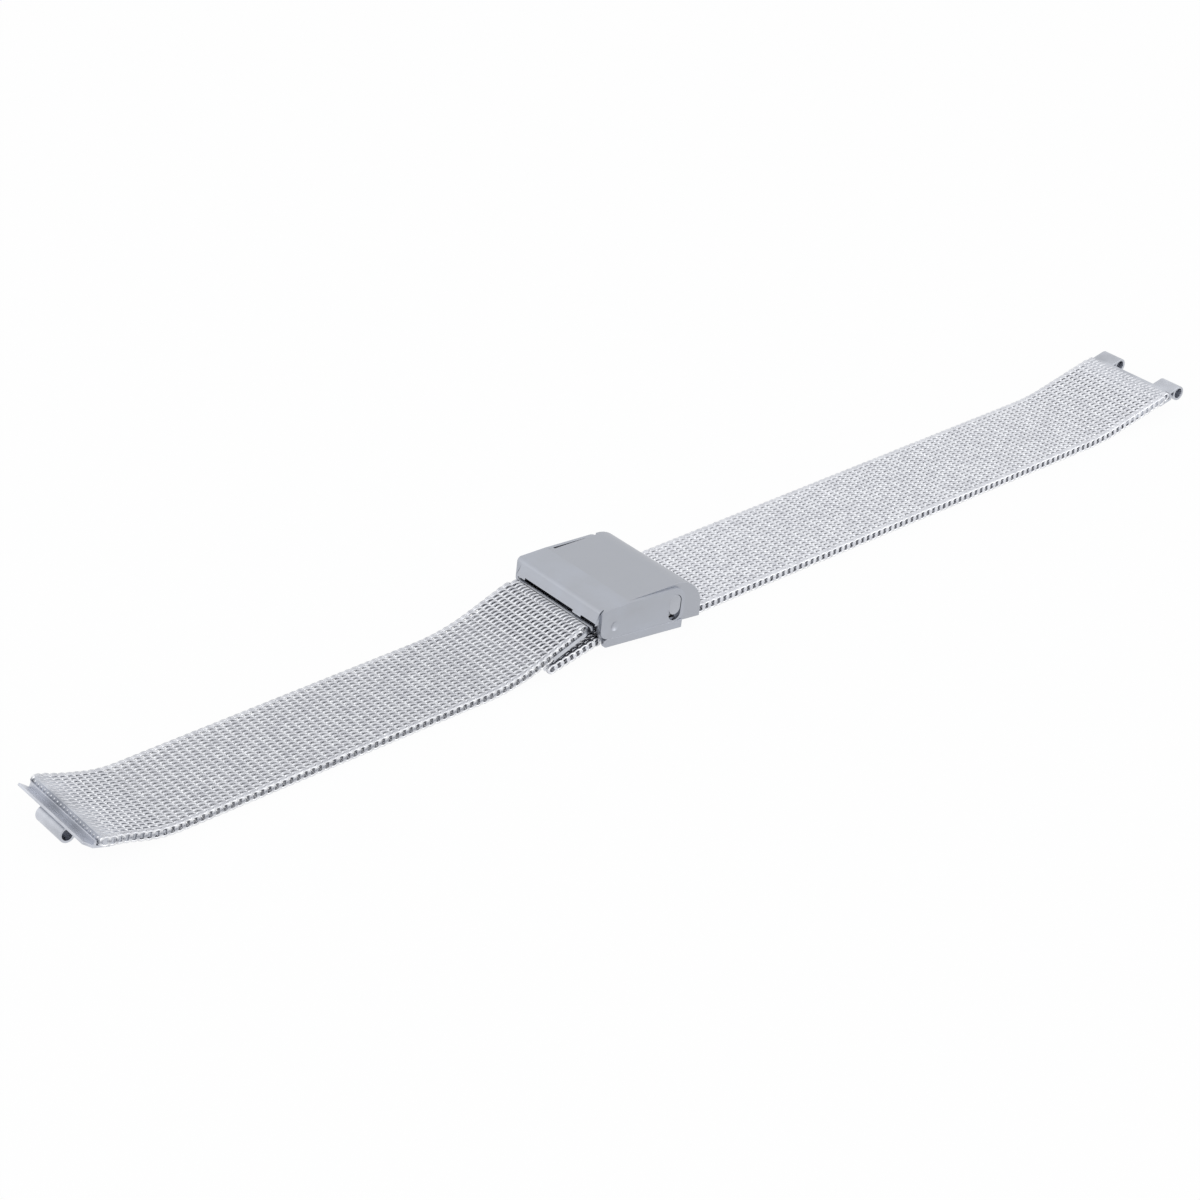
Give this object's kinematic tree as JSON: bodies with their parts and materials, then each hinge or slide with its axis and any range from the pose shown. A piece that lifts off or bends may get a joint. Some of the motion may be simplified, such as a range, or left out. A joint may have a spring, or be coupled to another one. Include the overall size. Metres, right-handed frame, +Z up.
{
  "type": "mesh watch bracelet",
  "caption": "Woven steel mesh watch bracelet with a sliding fold-over clasp, a hook-and-bar catch and rolled knuckles at its ends that take spring bars.",
  "frame": {"origin": "on the table, under the middle of the whole length and width", "axes": "+X along the band towards the long half's end, +Y across it, +Z up from the wearer's side to the outside"},
  "size_m": [0.1888, 0.0182, 0.0073],
  "materials": {
    "mesh_wire": "polished round wire, flattened on both faces",
    "satin_steel": "fine satin",
    "end_steel": "soft satin",
    "bright_steel": "bright drawn steel"
  },
  "bodies": {
    "clasp": {"clasp_housing": "satin_steel", "clasp_tray": "satin_steel", "hook_bar": "bright_steel", "lever_pin": "bright_steel"},
    "cover": {"clasp_cover": "satin_steel", "cover_pin": "bright_steel"},
    "lever": {"lock_lever": "bright_steel"},
    "hook": {"short_hook": "bright_steel", "short_mesh_1": "mesh_wire"},
    "s2": {"short_mesh_2": "mesh_wire"},
    "s3": {"short_mesh_3": "mesh_wire"},
    "s4": {"short_mesh_4": "mesh_wire", "short_end_bracket": "end_steel"},
    "grip": {"long_mesh_tail": "mesh_wire"},
    "l1": {"long_mesh_1": "mesh_wire"},
    "l2": {"long_mesh_2": "mesh_wire"},
    "l3": {"long_mesh_3": "mesh_wire"},
    "l4": {"long_mesh_4": "mesh_wire"},
    "l5": {"long_mesh_5": "mesh_wire", "long_end_bracket": "end_steel"}
  },
  "joints": [
    {"name": "cover_hinge", "type": "hinge", "parent": "clasp", "child": "cover", "pos_m": [-0.006, 0, 0.0036], "axis": [0, 1, 0], "range_deg": [0, 100]},
    {"name": "lever_hinge", "type": "hinge", "parent": "clasp", "child": "lever", "pos_m": [-0.00828, 0, 0.0039], "axis": [0, 1, 0], "range_deg": [0, 15]},
    {"name": "hook_pivot", "type": "hinge", "parent": "clasp", "child": "hook", "pos_m": [-0.01549, 0, 0.00505], "axis": [0, 1, 0], "range_deg": [-1.5, 5]},
    {"name": "short_bend_1", "type": "hinge", "parent": "hook", "child": "s2", "pos_m": [-0.03869, 0, 0.0007], "axis": [0, 1, 0], "range_deg": [-35, 20]},
    {"name": "short_bend_2", "type": "hinge", "parent": "s2", "child": "s3", "pos_m": [-0.05569, 0, 0.0007], "axis": [0, 1, 0], "range_deg": [-35, 20]},
    {"name": "short_bend_3", "type": "hinge", "parent": "s3", "child": "s4", "pos_m": [-0.07269, 0, 0.0007], "axis": [0, 1, 0], "range_deg": [-35, 20]},
    {"name": "clasp_slide", "type": "slide", "parent": "clasp", "child": "grip", "axis": [0.9914, 0, -0.1305], "range_m": [0, 0.0045]},
    {"name": "long_bend_1", "type": "hinge", "parent": "grip", "child": "l1", "pos_m": [-0.00158, 0, 0.0007], "axis": [0, 1, 0], "range_deg": [-10, 35]},
    {"name": "long_bend_2", "type": "hinge", "parent": "l1", "child": "l2", "pos_m": [0.01542, 0, 0.0007], "axis": [0, 1, 0], "range_deg": [-20, 35]},
    {"name": "long_bend_3", "type": "hinge", "parent": "l2", "child": "l3", "pos_m": [0.03242, 0, 0.0007], "axis": [0, 1, 0], "range_deg": [-20, 35]},
    {"name": "long_bend_4", "type": "hinge", "parent": "l3", "child": "l4", "pos_m": [0.04942, 0, 0.0007], "axis": [0, 1, 0], "range_deg": [-20, 35]},
    {"name": "long_bend_5", "type": "hinge", "parent": "l4", "child": "l5", "pos_m": [0.06642, 0, 0.0007], "axis": [0, 1, 0], "range_deg": [-20, 35]}
  ]
}
